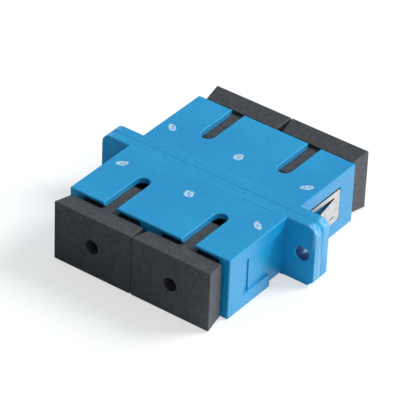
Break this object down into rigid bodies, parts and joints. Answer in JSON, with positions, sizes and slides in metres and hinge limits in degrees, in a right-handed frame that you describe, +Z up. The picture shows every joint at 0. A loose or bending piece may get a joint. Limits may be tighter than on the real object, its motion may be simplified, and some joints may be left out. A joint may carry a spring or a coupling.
{
  "type": "sc fibre adapter",
  "caption": "Flanged duplex adapter that joins SC fibre plugs end to end, with a spring clip for panel mounting and a push-in dust cap in every port.",
  "frame": {"origin": "bottom centre of the object, at the foot of the flange on the joint between the two shells", "axes": "+X across the ports towards the right port, +Y along the fibres towards the rear shell, which carries the clip, +Z up through the key slots"},
  "size_m": [0.0352, 0.0356, 0.0093],
  "materials": {
    "shell": "satin blue moulded plastic",
    "latch": "natural moulded plastic",
    "sleeve": "fine ground white zirconia",
    "clip": "bright spring steel",
    "dust_cap": "grainy matte black moulded plastic"
  },
  "bodies": {
    "adapter": {"front_shell": "shell", "rear_shell": "shell", "left_front_latch": "latch", "right_front_latch": "latch", "left_rear_latch": "latch", "right_rear_latch": "latch", "left_sleeve": "sleeve", "right_sleeve": "sleeve", "mounting_clip": "clip"},
    "left_front_cap": {"left_front_cap": "dust_cap"},
    "right_front_cap": {"right_front_cap": "dust_cap"},
    "left_rear_cap": {"left_rear_cap": "dust_cap"},
    "right_rear_cap": {"right_rear_cap": "dust_cap"}
  },
  "joints": [
    {"name": "left_front_cap_pull", "type": "slide", "parent": "adapter", "child": "left_front_cap", "axis": [0, -1, 0], "range_m": [0, 0.014]},
    {"name": "right_front_cap_pull", "type": "slide", "parent": "adapter", "child": "right_front_cap", "axis": [0, -1, 0], "range_m": [0, 0.014]},
    {"name": "left_rear_cap_pull", "type": "slide", "parent": "adapter", "child": "left_rear_cap", "axis": [0, 1, 0], "range_m": [0, 0.014]},
    {"name": "right_rear_cap_pull", "type": "slide", "parent": "adapter", "child": "right_rear_cap", "axis": [0, 1, 0], "range_m": [0, 0.014]}
  ]
}
